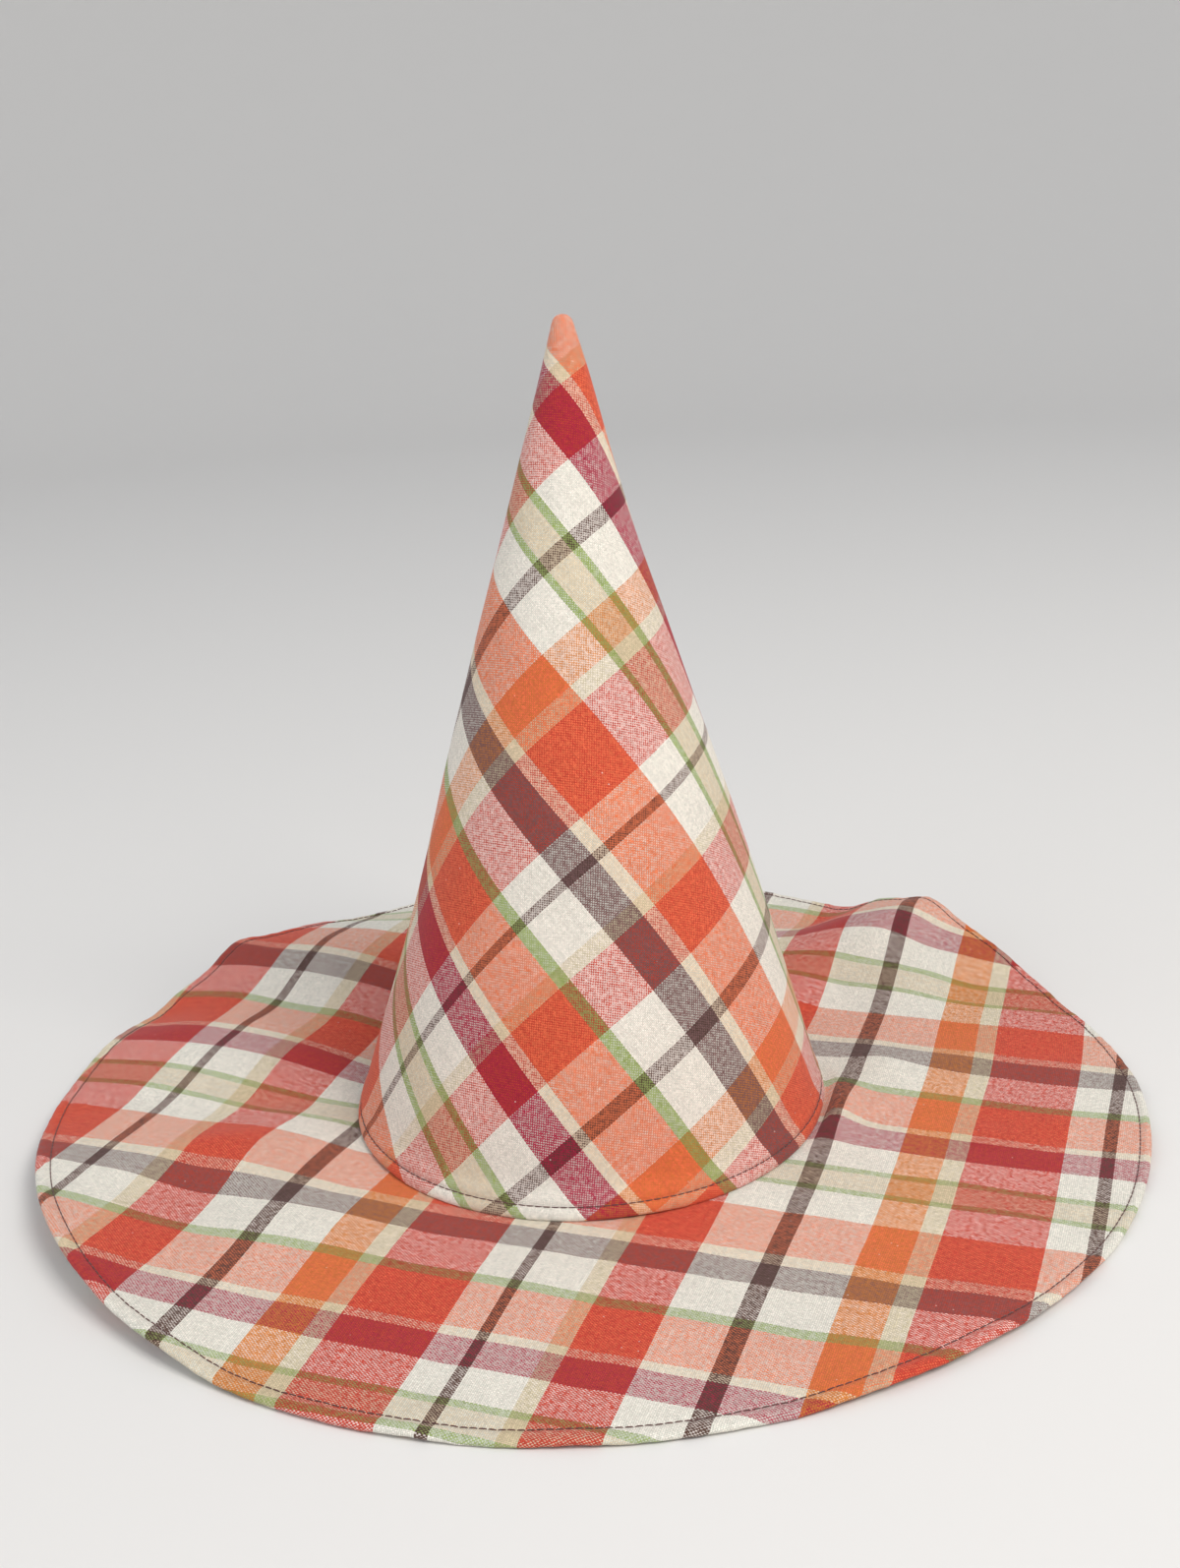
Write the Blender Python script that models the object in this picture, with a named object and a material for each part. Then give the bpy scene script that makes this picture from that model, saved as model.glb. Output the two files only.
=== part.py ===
"""Floppy witch hat in checked cotton: a stiff hollow cone on a wide, wavy brim of two cloth layers.

The hat rests on its brim, front towards -Y, with its origin on the ground under the middle of
the head opening. Angles go round the hat from the front, growing towards +X.
"""
import math

import bmesh
import bpy

MM = 0.001

# driving dimensions in metres
HEAD_RADIUS = 0.0895
SEAM_RADIUS = 0.0965
NEAR_RADIUS = 0.1358
MIDDLE_RADIUS = 0.1759
RIM_RADIUS = 0.2160
CLOTH = 0.0012
CLOTH_GAP = 0.0003
CROWN_WALL = 0.0020
CROWN_GAP = 0.0003
TIP_RADIUS = 0.0040
TIP_TOP = 0.3075
HEM_HEIGHT = 0.0100
HEM_PROUD = 0.0005

# how finely the solids are faceted
BRIM_SEGMENTS = 96
BRIM_RINGS_INSIDE_SEAM = 2
BRIM_RINGS_OUTSIDE_SEAM = 8
CROWN_SEGMENTS = 64
TIP_RINGS = 3

# the brim, a row for each section of cloth round the hat, starting at the front
# angle and swing in degrees; swing is how far the cloth has slipped round the hat
# reach: how far the cloth is pushed out from its flat radius, millimetres
# near, middle, rim: how high its underside is lifted off the ground at three radii, millimetres
BRIM_COLUMNS = ("angle", "swing", "reach", "near", "middle", "rim")
BRIM_SECTIONS = (
    (0, -0.5, -1, 0, 0, 0),
    (15, -0.5, -1, 0, 0, 0),
    (30, -0.3, 0, 0, 0, 2),
    (45, -0.2, 2, 0, 0, 1),
    (60, -0.3, 3, 0, 0, 0),
    (75, -0.6, 3, 0, 0, 2),
    (90, -0.8, 3, 1, 0, 0),
    (105, -0.8, 0, 1, 0, 0),
    (120, -1.1, -2, 1, 9, 12),
    (135, -1.5, -3, 9, 18, 16),
    (150, -1.8, -1, 7, 5, 4),
    (165, -1.5, -1, 3, 5, 12),
    (180, -1.2, -1, 6, 13, 19),
    (195, -1.0, -3, 11, 16, 13),
    (210, -0.5, -3, 13, 16, 8),
    (225, -0.2, -3, 12, 19, 15),
    (240, -0.2, -1, 7, 11, 9),
    (255, -0.2, 2, 8, 10, 6),
    (270, -0.4, 3, 2, 5, 5),
    (285, -0.5, 2, 8, 8, 10),
    (300, -0.5, 1, 5, 4, 11),
    (315, -0.6, 0, 4, 3, 6),
    (330, -0.5, -1, 1, 1, 0),
    (345, -0.2, -1, 1, 0, 0),
)

# the crown, a row for each level: height above its lower edge, outer radius, and how far the
# middle of the crown stands to the right, all in millimetres
CROWN_COLUMNS = ("height", "radius", "shift")
CROWN_LEVELS = (
    (0, 94.5, 0.0),
    (30, 85.4, 1.4),
    (60, 76.1, 2.4),
    (94, 65.9, 3.2),
    (142, 51.8, 3.3),
    (170, 43.1, 3.2),
    (199, 34.3, 3.1),
    (228, 25.2, 3.3),
    (257, 17.0, 4.2),
    (286, 9.1, 5.4),
    (304.6, 3.8, 5.7),
)

# colour, roughness of each cloth piece
COTTON_CHECK = ((0.72, 0.22, 0.13, 1.0), 0.9)
COTTON_UNDER = ((0.68, 0.30, 0.24, 1.0), 0.9)


def clear_scene():
    for old in list(bpy.data.objects):
        bpy.data.objects.remove(old, do_unlink=True)


def smooth_through(places, values, at):
    """A cubic curve through the values at the given places, read at one place; flat beyond the ends."""
    if at <= places[0]:
        return values[0]
    if at >= places[-1]:
        return values[-1]
    i = max(k for k in range(len(places) - 1) if places[k] <= at)
    width = places[i + 1] - places[i]
    share = (at - places[i]) / width

    def slope(k):
        before = max(k - 1, 0)
        after = min(k + 1, len(places) - 1)
        return (values[after] - values[before]) / (places[after] - places[before])

    start = values[i]
    end = values[i + 1]
    leave = slope(i) * width
    arrive = slope(i + 1) * width
    square = share * share
    cube = square * share
    return (start * (2 * cube - 3 * square + 1) + leave * (cube - 2 * square + share)
            + end * (3 * square - 2 * cube) + arrive * (cube - square))


def brim_value(column, angle):
    """A column of the brim's table at any angle in degrees, smooth all the way round."""
    k = BRIM_COLUMNS.index(column)
    before = BRIM_SECTIONS[-2:]
    after = BRIM_SECTIONS[:3]
    angles = [row[0] - 360 for row in before] + [row[0] for row in BRIM_SECTIONS] + [row[0] + 360 for row in after]
    values = [row[k] for row in before] + [row[k] for row in BRIM_SECTIONS] + [row[k] for row in after]
    return smooth_through(angles, values, angle % 360)


def brim_point(angle, radius):
    """Where a point of the flat-cut brim lies, on the underside of its lower layer."""
    places = (SEAM_RADIUS, NEAR_RADIUS, MIDDLE_RADIUS, RIM_RADIUS)
    lifts = (0.0, brim_value("near", angle), brim_value("middle", angle), brim_value("rim", angle))
    lift = max(0.0, smooth_through(places, lifts, radius)) * MM
    shares = (0.0, 0.85, 1.0, 1.0)
    moved = smooth_through(places, shares, radius)
    reach = radius + moved * brim_value("reach", angle) * MM
    turn = math.radians(angle + moved * brim_value("swing", angle))
    return (reach * math.sin(turn), -reach * math.cos(turn), lift)


def brim_radii():
    inside = [HEAD_RADIUS + (SEAM_RADIUS - HEAD_RADIUS) * k / BRIM_RINGS_INSIDE_SEAM
              for k in range(BRIM_RINGS_INSIDE_SEAM)]
    outside = [SEAM_RADIUS + (RIM_RADIUS - SEAM_RADIUS) * k / BRIM_RINGS_OUTSIDE_SEAM
               for k in range(BRIM_RINGS_OUTSIDE_SEAM + 1)]
    return inside + outside


def crown_middle(height):
    """The crown's outer radius and sideways shift at a height in metres."""
    heights = [row[0] * MM for row in CROWN_LEVELS]
    radius = smooth_through(heights, [row[1] * MM for row in CROWN_LEVELS], height)
    shift = smooth_through(heights, [row[2] * MM for row in CROWN_LEVELS], height)
    return radius, shift


def circle_points(radius, shift, height, segments):
    turns = [2 * math.pi * k / segments for k in range(segments)]
    return [(shift + radius * math.sin(t), -radius * math.cos(t), height) for t in turns]


def loft(mesh, rings):
    """Joins closed rings of points with quads and returns the rings' vertices."""
    rows = [[mesh.verts.new(point) for point in ring] for ring in rings]
    for low, high in zip(rows, rows[1:]):
        for k in range(len(low)):
            after = (k + 1) % len(low)
            mesh.faces.new((low[k], low[after], high[after], high[k]))
    return rows


def cap_with_point(mesh, ring, point):
    """Closes a ring of vertices with a fan of triangles to one point."""
    pole = mesh.verts.new(point)
    for k in range(len(ring)):
        mesh.faces.new((ring[k], ring[(k + 1) % len(ring)], pole))


def finish(name, mesh, finish_values):
    """Turns a closed bmesh into a named object with its own material."""
    bmesh.ops.recalc_face_normals(mesh, faces=mesh.faces[:])
    data = bpy.data.meshes.new(name)
    mesh.to_mesh(data)
    mesh.free()
    data.shade_smooth()
    data.set_sharp_from_angle(angle=math.radians(50))
    colour, roughness = finish_values
    material = bpy.data.materials.new(name + "_cloth")
    material.use_nodes = True
    shader = material.node_tree.nodes["Principled BSDF"]
    shader.inputs["Base Color"].default_value = colour
    shader.inputs["Roughness"].default_value = roughness
    shader.inputs["Metallic"].default_value = 0.0
    data.materials.append(material)
    piece = bpy.data.objects.new(name, data)
    bpy.context.scene.collection.objects.link(piece)
    return piece


def make_brim_layer(name, underside, finish_values):
    """One layer of the brim: the wavy sheet, then its faces extruded up by the cloth's thickness."""
    mesh = bmesh.new()
    angles = [360 * k / BRIM_SEGMENTS for k in range(BRIM_SEGMENTS)]
    rings = []
    for radius in brim_radii():
        points = [brim_point(angle, radius) for angle in angles]
        rings.append([(x, y, z + underside) for x, y, z in points])
    loft(mesh, rings)
    sheet = mesh.faces[:]
    raised = bmesh.ops.extrude_face_region(mesh, geom=sheet, use_keep_orig=True)
    top = [item for item in raised["geom"] if isinstance(item, bmesh.types.BMVert)]
    bmesh.ops.translate(mesh, verts=top, vec=(0, 0, CLOTH))
    return finish(name, mesh, finish_values)


def make_crown():
    """The hollow cone: its outer face, the rounded tip, and the inner face one wall inside it."""
    foot = 2 * CLOTH + CLOTH_GAP + CROWN_GAP
    tip_centre = TIP_TOP - TIP_RADIUS
    slope = math.atan2(CROWN_LEVELS[0][1], CROWN_LEVELS[-1][0] + TIP_RADIUS / MM)
    outer = []
    for height in (0.0, HEM_HEIGHT / 2, HEM_HEIGHT):
        radius, shift = crown_middle(height)
        outer.append(circle_points(radius + HEM_PROUD, shift, foot + height, CROWN_SEGMENTS))
    for row in CROWN_LEVELS[1:]:
        radius, shift = crown_middle(row[0] * MM)
        outer.append(circle_points(radius, shift, foot + row[0] * MM, CROWN_SEGMENTS))
    tip_shift = CROWN_LEVELS[-1][2] * MM
    for k in range(1, TIP_RINGS):
        lean = slope + (math.pi / 2 - slope) * k / TIP_RINGS
        outer.append(circle_points(TIP_RADIUS * math.cos(lean), tip_shift,
                                   foot + tip_centre + TIP_RADIUS * math.sin(lean), CROWN_SEGMENTS))
    wall_across = CROWN_WALL / math.cos(slope)
    inner = []
    for row in CROWN_LEVELS[:-1]:
        radius, shift = crown_middle(row[0] * MM)
        inner.append(circle_points(radius - wall_across, shift, foot + row[0] * MM, CROWN_SEGMENTS))
    mesh = bmesh.new()
    rows = loft(mesh, inner[::-1] + outer)
    cap_with_point(mesh, rows[-1], (tip_shift, 0.0, foot + TIP_TOP))
    inner_peak = CROWN_LEVELS[-1][0] * MM - 2 * CROWN_WALL
    cap_with_point(mesh, rows[0][::-1], (tip_shift, 0.0, foot + inner_peak))
    return finish("crown", mesh, COTTON_CHECK)


clear_scene()
make_brim_layer("brim_under", 0.0, COTTON_UNDER)
make_brim_layer("brim_upper", CLOTH + CLOTH_GAP, COTTON_CHECK)
make_crown()
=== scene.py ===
# %% [markdown]
# # A witch hat in checked cotton
# The hat is a stiff cone of checked cotton, cut on the bias, topstitched to a wide, soft brim of two
# cloth layers. This lesson dresses the plain solids of the hat with fine cloth: the waves of the brim,
# the turned edges, every stitch, and a check that is woven thread by thread in the shader.
# The solids come first, as a fixed frame that every new piece must fit.

import math

import bmesh
import bpy
import mathutils
import numpy as np
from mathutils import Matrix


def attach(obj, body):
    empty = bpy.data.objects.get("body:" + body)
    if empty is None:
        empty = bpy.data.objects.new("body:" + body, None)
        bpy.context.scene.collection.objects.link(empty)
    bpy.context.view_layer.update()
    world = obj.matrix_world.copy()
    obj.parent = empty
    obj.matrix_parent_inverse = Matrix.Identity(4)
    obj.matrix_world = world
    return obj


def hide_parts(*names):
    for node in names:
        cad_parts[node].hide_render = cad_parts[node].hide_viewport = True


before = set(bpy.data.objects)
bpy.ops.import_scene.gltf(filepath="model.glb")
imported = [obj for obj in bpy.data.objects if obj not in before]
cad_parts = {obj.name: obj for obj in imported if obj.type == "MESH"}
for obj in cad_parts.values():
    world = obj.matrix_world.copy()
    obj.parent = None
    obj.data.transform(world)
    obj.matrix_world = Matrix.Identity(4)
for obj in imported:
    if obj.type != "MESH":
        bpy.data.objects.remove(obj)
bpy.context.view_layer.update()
scene = bpy.context.scene
print("solids:", ", ".join(sorted(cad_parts)))

# %% [markdown]
# ## The camera
# A photograph of this hat would be taken from a little above the brim, near enough for the front
# of the brim to look larger than the back. A camera is easiest to aim with three directions: where
# it looks, what is to its right, and what is up. They become the columns of its matrix.

# %% The camera
MM = 0.001
FRAME_HEIGHT_PIXELS = 1594
FOCAL_PIXELS = 1786.0
SENSOR = 36.0
CAMERA_PLACE = (0.0, -0.6438, 0.3470)
PITCH_DOWN = 0.3186
YAW = 0.0102
ROLL = -0.0548


def aim_camera():
    """A camera at the photograph's place, turned by its pitch, yaw and roll."""
    ahead = mathutils.Vector((math.sin(YAW) * math.cos(PITCH_DOWN), math.cos(YAW) * math.cos(PITCH_DOWN),
                              -math.sin(PITCH_DOWN)))
    level = mathutils.Vector((math.cos(YAW), -math.sin(YAW), 0.0))
    upright = level.cross(ahead)
    right = math.cos(ROLL) * level + math.sin(ROLL) * upright
    up = math.cos(ROLL) * upright - math.sin(ROLL) * level
    lens = bpy.data.cameras.new("hat_camera")
    lens.lens = FOCAL_PIXELS / FRAME_HEIGHT_PIXELS * SENSOR
    lens.sensor_width = SENSOR
    lens.clip_start = 0.02
    camera = bpy.data.objects.new("hat_camera", lens)
    scene.collection.objects.link(camera)
    turn = mathutils.Matrix((right, up, -ahead)).transposed().to_4x4()
    camera.matrix_world = mathutils.Matrix.Translation(CAMERA_PLACE) @ turn
    scene.camera = camera
    return camera


camera = aim_camera()
print("lens:", round(camera.data.lens, 2), "mm")

# %% [markdown]
# ## The cloth's shape, in tables
# The brim was cut flat as a ring and then slumped into soft waves. Each row of its table is one
# section round the hat: how far the cloth has slipped round, how far it was pushed out, and how high
# it is lifted at three radii. The crown's table has a row for each level. A smooth curve runs through
# the values. A third table holds the brim's small folds, each a soft bump: sharper ridges at the
# back, the hollows beside them, and a puff of cloth pushed up at the crown's right foot.

# %% The tables
HEAD_RADIUS = 0.0895
SEAM_RADIUS = 0.0965
NEAR_RADIUS = 0.1358
MIDDLE_RADIUS = 0.1759
RIM_RADIUS = 0.2160
LAYER = 0.0012
LAYER_GAP = 0.0003
CROWN_GAP = 0.0003
TIP_RADIUS = 0.0040
TIP_TOP = 0.3075
UNDER_BASE = 0.0
UPPER_BASE = LAYER + LAYER_GAP
CROWN_FOOT = 2 * LAYER + LAYER_GAP + CROWN_GAP

# how much of its reach and swing the brim has at the seam and at the near, middle and rim radii
MOVED_SHARES = (0.0, 0.85, 1.0, 1.0)

# angle and swing in degrees, all else in millimetres
BRIM_COLUMNS = ("angle", "swing", "reach", "near", "middle", "rim")
BRIM_SECTIONS = (
    (0, -0.5, -1, 0, 0, 0),
    (15, -0.5, -1, 0, 0, 0),
    (30, -0.3, 0, 0, 0, 2),
    (45, -0.2, 2, 0, 0, 1),
    (60, -0.3, 3, 0, 0, 0),
    (75, -0.6, 3, 0, 0, 2),
    (90, -0.8, 3, 1, 0, 0),
    (105, -0.8, 0, 1, 0, 0),
    (120, -1.1, -2, 1, 9, 12),
    (135, -1.5, -3, 9, 18, 16),
    (150, -1.8, -1, 7, 5, 4),
    (165, -1.5, -1, 3, 5, 12),
    (180, -1.2, -1, 6, 13, 19),
    (195, -1.0, -3, 11, 16, 13),
    (210, -0.5, -3, 13, 16, 8),
    (225, -0.2, -3, 12, 19, 15),
    (240, -0.2, -1, 7, 11, 9),
    (255, -0.2, 2, 8, 10, 6),
    (270, -0.4, 3, 2, 5, 5),
    (285, -0.5, 2, 8, 8, 10),
    (300, -0.5, 1, 5, 4, 11),
    (315, -0.6, 0, 4, 3, 6),
    (330, -0.5, -1, 1, 1, 0),
    (345, -0.2, -1, 1, 0, 0),
)

# where the middle of each fold is, its widths round the hat and outward, and how high it is
SMALL_FOLD_COLUMNS = ("angle", "radius", "round", "outward", "height")
SMALL_FOLDS = (
    (129, 199, 15, 34, 7.0),
    (113, 186, 15, 24, -3.4),
    (143, 199, 16, 30, -6.0),
    (74, 101, 24, 9, 5.5),
    (94, 120, 12, 12, 3.0),
    (104, 150, 20, 20, -1.2),
    (292, 160, 20, 15, -2.0),
    (238, 160, 18, 20, -1.9),
    (231, 216, 14, 22, 5.0),
    (246, 214, 14, 20, -3.0),
)
SEAM_HOLD = 0.004

CROWN_COLUMNS = ("height", "radius", "shift")
CROWN_LEVELS = (
    (0, 94.5, 0.0),
    (30, 85.4, 1.4),
    (60, 76.1, 2.4),
    (94, 65.9, 3.2),
    (142, 51.8, 3.3),
    (170, 43.1, 3.2),
    (199, 34.3, 3.1),
    (228, 25.2, 3.3),
    (257, 17.0, 4.2),
    (286, 9.1, 5.4),
    (304.6, 3.8, 5.7),
)


def column(table, columns, name):
    """One named column of a table, as an array."""
    return np.array([row[columns.index(name)] for row in table], float)


def smooth_through(places, values, at):
    """A cubic curve through the values at the given places, read at many places at once."""
    places = np.asarray(places, float)
    values = np.asarray(values, float)
    slopes = np.empty(len(places))
    slopes[1:-1] = (values[2:] - values[:-2]) / (places[2:] - places[:-2])
    slopes[0] = (values[1] - values[0]) / (places[1] - places[0])
    slopes[-1] = (values[-1] - values[-2]) / (places[-1] - places[-2])
    at = np.clip(at, places[0], places[-1])
    k = np.clip(np.searchsorted(places, at, side="right") - 1, 0, len(places) - 2)
    width = places[k + 1] - places[k]
    share = (at - places[k]) / width
    square = share * share
    cube = square * share
    return (values[k] * (2 * cube - 3 * square + 1) + slopes[k] * width * (cube - 2 * square + share)
            + values[k + 1] * (3 * square - 2 * cube) + slopes[k + 1] * width * (cube - square))


def brim_value(name, angles):
    """A column of the brim's table at any angles in degrees, smooth all the way round."""
    places, values = (column(BRIM_SECTIONS, BRIM_COLUMNS, label) for label in ("angle", name))
    places = np.concatenate([places[-2:] - 360, places, places[:3] + 360])
    values = np.concatenate([values[-2:], values, values[:3]])
    return smooth_through(places, values, np.mod(angles, 360))


def small_folds(angles, radii):
    """What the small folds add to the brim's height, in millimetres; nothing where the seam holds it."""
    total = np.zeros((len(radii), len(angles)))
    for row in SMALL_FOLDS:
        fold = dict(zip(SMALL_FOLD_COLUMNS, row))
        apart = np.radians((angles - fold["angle"] + 180) % 360 - 180)
        sideways = np.outer(radii / MM, apart) / fold["round"]
        outward = (radii[:, None] / MM - fold["radius"]) / fold["outward"]
        total += fold["height"] * np.exp(-sideways ** 2 - outward ** 2)
    free = np.clip((radii[:, None] - SEAM_RADIUS) / SEAM_HOLD, 0.0, 1.0)
    return total * free ** 2 * (3 - 2 * free)


def brim_shape(angles, radii):
    """Points of the brim's underside in metres, a row for each radius and a column for each angle."""
    near, middle, rim = (brim_value(name, angles) for name in ("near", "middle", "rim"))
    reach, swing = (brim_value(name, angles) for name in ("reach", "swing"))
    places = (SEAM_RADIUS, NEAR_RADIUS, MIDDLE_RADIUS, RIM_RADIUS)
    folds = small_folds(angles, radii)
    points = np.zeros((len(radii), len(angles), 3))
    for j in range(len(angles)):
        waved = smooth_through(places, (0.0, near[j], middle[j], rim[j]), radii)
        lift = np.maximum(0.0, waved + folds[:, j]) * MM
        moved = smooth_through(places, MOVED_SHARES, radii)
        out = radii + moved * reach[j] * MM
        turn = np.radians(angles[j] + moved * swing[j])
        points[:, j] = np.stack([out * np.sin(turn), -out * np.cos(turn), lift], -1)
    return points


print("brim sections:", len(BRIM_SECTIONS), "crown levels:", len(CROWN_LEVELS))
print("highest lift:", max(column(BRIM_SECTIONS, BRIM_COLUMNS, "middle")), "mm")

# %% [markdown]
# ## The check, as a weaver would chart it
# A woven check is two lists of stripes: the threads that run along the cloth and the threads that
# run across it. Where two stripes meet, both colours show. A chart of stripe widths in millimetres
# is all that a shader needs. The colours are those of the yarns.

# %% The chart of the check
YARNS = {
    "red": (0.550, 0.070, 0.044),
    "white": (0.700, 0.712, 0.645),
    "brown": (0.110, 0.062, 0.048),
    "orange": (0.633, 0.235, 0.060),
    "tan": (0.596, 0.541, 0.378),
    "beige": (0.760, 0.625, 0.455),
    "charcoal": (0.225, 0.125, 0.122),
    "crimson": (0.450, 0.024, 0.068),
    "green": (0.340, 0.430, 0.140),
    "amber": (0.864, 0.218, 0.096),
    "cream": (0.860, 0.693, 0.528),
    "ecru": (0.930, 0.860, 0.795),
}
WARP_STRIPES = (
    ("red", 24.8), ("white", 22.0), ("brown", 7.0), ("white", 23.0), ("orange", 16.2), ("tan", 7.8),
    ("red", 33.6), ("white", 13.0), ("brown", 4.2), ("white", 20.6), ("tan", 7.4),
)
WEFT_STRIPES = (
    ("crimson", 13.8), ("ecru", 16.3), ("green", 3.3), ("beige", 10.7), ("green", 3.3), ("ecru", 17.3),
    ("amber", 27.6), ("cream", 5.4), ("charcoal", 13.8), ("ecru", 20.3), ("green", 5.2), ("amber", 23.4),
    ("cream", 5.1),
)
WARP_START = -6.5
WEFT_START = 0.7
WARP_PITCH = 0.69
WEFT_PITCH = 0.555
warp_repeat = sum(width for _, width in WARP_STRIPES)
weft_repeat = sum(width for _, width in WEFT_STRIPES)
print("one repeat of the check:", round(warp_repeat, 1), "by", round(weft_repeat, 1), "mm")

# %% [markdown]
# ## Where each piece was cut from the cloth
# The pattern has to follow the cloth as it was cut, not as it lies. So every vertex gets, in its UV
# map, its place on the flat check. The brim was cut as a flat ring with the check a little askew, and
# sewing and handling have shifted it by a millimetre or two, which a few small terms describe. The
# crown was cut as a fan on the bias: its flat place comes from unrolling the cone. Bias-cut cloth
# gives when it is stretched over a stiff cone, so its terms bend the grid a little more.

# %% From the pieces to the cloth
BRIM_TURN = math.radians(20.29)
BRIM_CUT = (124.3, 164.4)
UNDER_TURN = math.radians(-31.0)
UNDER_CUT = (52.0, 118.0)
CROWN_SLANT = 331.45
CROWN_SPREAD = 0.2851

# weights of six terms, which shift the brim's check and place the crown's: one, right, down, right
# times right, right times down, and down times down; on the brim, front stands for down
BRIM_GIVE_RIGHT = (-0.46, 0.42, 0.12, 0.22, -0.22, 0.25)
BRIM_GIVE_FRONT = (1.08, 0.74, 1.23, 0.29, 0.12, -0.84)
BRIM_GIVE_SCALE = 0.1
CROWN_ALONG = (121.48, 0.6544, 0.8659, -0.1607, 0.0439, -0.0127)
CROWN_ACROSS = (87.13, -0.7641, 0.5947, -0.0379, -0.0274, -0.0158)
GIVE_CENTRE = 180.0
GIVE_SCALE = 200.0
GIVE_LIMIT = 120.0
GIVE_FADE = 45.0


def weighed(weights, terms):
    """The sum of the terms, each times its weight."""
    return sum(weight * term for weight, term in zip(weights, terms))


def brim_cloth(angles, radii, turn, cut):
    """Where the flat ring's points lie on the check, in metres."""
    right = np.outer(radii, np.sin(np.radians(angles)))
    front = np.outer(radii, np.cos(np.radians(angles)))
    x = right / BRIM_GIVE_SCALE
    y = front / BRIM_GIVE_SCALE
    terms = (np.ones_like(x), x, y, x * x, x * y, y * y)
    right = right - MM * weighed(BRIM_GIVE_RIGHT, terms)
    front = front - MM * weighed(BRIM_GIVE_FRONT, terms)
    along = cut[0] * MM + right * math.cos(turn) + front * math.sin(turn)
    across = cut[1] * MM - right * math.sin(turn) + front * math.cos(turn)
    return np.stack([along, across], -1)


def crown_cloth(turns, slants):
    """Where points of the unrolled crown lie on the check, in metres; slants, a grid, in mm from the peak."""
    right = slants * np.sin(turns * CROWN_SPREAD)
    down = slants * np.cos(turns * CROWN_SPREAD)
    low = down - GIVE_CENTRE
    over = np.maximum(0.0, np.abs(right) - GIVE_LIMIT)
    held = np.minimum(np.abs(right), GIVE_LIMIT)
    bow = held ** 2 + 2 * GIVE_LIMIT * GIVE_FADE * (1 - np.exp(-over / GIVE_FADE))
    held_right = np.sign(right) * (held + GIVE_FADE * (1 - np.exp(-over / GIVE_FADE)))
    right_down = held_right * low / GIVE_SCALE
    down_down = low ** 2 / GIVE_SCALE
    terms = (np.ones_like(right), right, low, bow / GIVE_SCALE, right_down, down_down)
    return np.stack([weighed(CROWN_ALONG, terms), weighed(CROWN_ACROSS, terms)], -1) * MM


front_cloth = crown_cloth(np.array([0.0]), np.array([[CROWN_SLANT]]))[0, 0]
print("the crown's front edge lies on the check at", np.round(front_cloth / MM, 1), "mm")

# %% [markdown]
# ## Weaving in the shader
# This is homespun cotton in a plain weave: each thread goes over one and under one, so where two
# colours cross they show as tiny dots in a chequer, and the edge of every stripe is toothed by a
# thread. The group counts threads with floor, decides with a remainder which thread is on top, and
# colours it from its stripe. The tighter pulled threads spread over their neighbours: the group's
# warp cover says how much, and soft noise varies it, which gives the mixed blocks their heathered
# look. Thick and thin places, and a little of the thread below shining through, make them richer.
# Painted shade darkens each thread towards its sides and the ends of its floats, where it dives.

# %% The weave group
WEAVE_BLEED = 0.44
THREAD_WANDER = 0.0004
WANDER_PER_METRE = 420.0
HEATHER = 2.4
HEATHER_PER_METRE = 560.0
HEATHER_ROUGHNESS = 0.75

# how a thread's relief falls towards its sides and towards the two ends of each float
SIDE_FALL = -2.6
END_FALL = -1.4

# what brightens a thread: how much each effect adds, and its least value
# painted shade: a thread is darker towards its sides and float ends; speckle and slubs are the yarn's own
PAINTED_THREAD_SHADE = (0.50, 0.67)
SPECKLE = (0.22, 0.89)
SLUB = (0.36, 0.82)

# a slub is long along its own thread; the weft's lie elsewhere in the noise than the warp's
SLUB_STRETCH = 0.06
SLUB_SCALE = 0.83
WEFT_SLUB_PLACE = 40.0


def new_group(name, inputs, outputs):
    """A shader node group with named sockets, and its inner input and output nodes."""
    group = bpy.data.node_groups.new(name, "ShaderNodeTree")
    for label, kind, value in inputs:
        socket = group.interface.new_socket(name=label, in_out="INPUT", socket_type=kind)
        if value is not None:
            socket.default_value = value
    for label, kind in outputs:
        group.interface.new_socket(name=label, in_out="OUTPUT", socket_type=kind)
    return group, group.nodes.new("NodeGroupInput"), group.nodes.new("NodeGroupOutput")


def plug(tree, source, target):
    """Links a socket, or sets a plain value, on the target socket."""
    if isinstance(source, bpy.types.NodeSocket):
        tree.links.new(source, target)
    else:
        target.default_value = source


def math_node(tree, operation, *values):
    """One Math node; its inputs are sockets or numbers."""
    node = tree.nodes.new("ShaderNodeMath")
    node.operation = operation
    for k, value in enumerate(values):
        plug(tree, value, node.inputs[k])
    return node.outputs[0]


def mix_colours(tree, share, first, second, blend="MIX"):
    """One Mix node for colours."""
    node = tree.nodes.new("ShaderNodeMix")
    node.data_type = "RGBA"
    node.blend_type = blend
    plug(tree, share, node.inputs["Factor"])
    plug(tree, first, node.inputs[6])
    plug(tree, second, node.inputs[7])
    return node.outputs[2]


def choose(tree, share, first, second):
    """One Mix node for numbers: the first where the share is 0, the second where it is 1."""
    node = tree.nodes.new("ShaderNodeMix")
    plug(tree, share, node.inputs[0])
    plug(tree, first, node.inputs[2])
    plug(tree, second, node.inputs[3])
    return node.outputs[0]


def combine(tree, kind, *values):
    """One Combine node, of the kind XYZ or Color."""
    node = tree.nodes.new("ShaderNodeCombine" + kind)
    for k, value in enumerate(values):
        plug(tree, value, node.inputs[k])
    return node.outputs[0]


def grey(tree, value):
    """A grey colour from one value."""
    return combine(tree, "Color", value, value, value)


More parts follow.
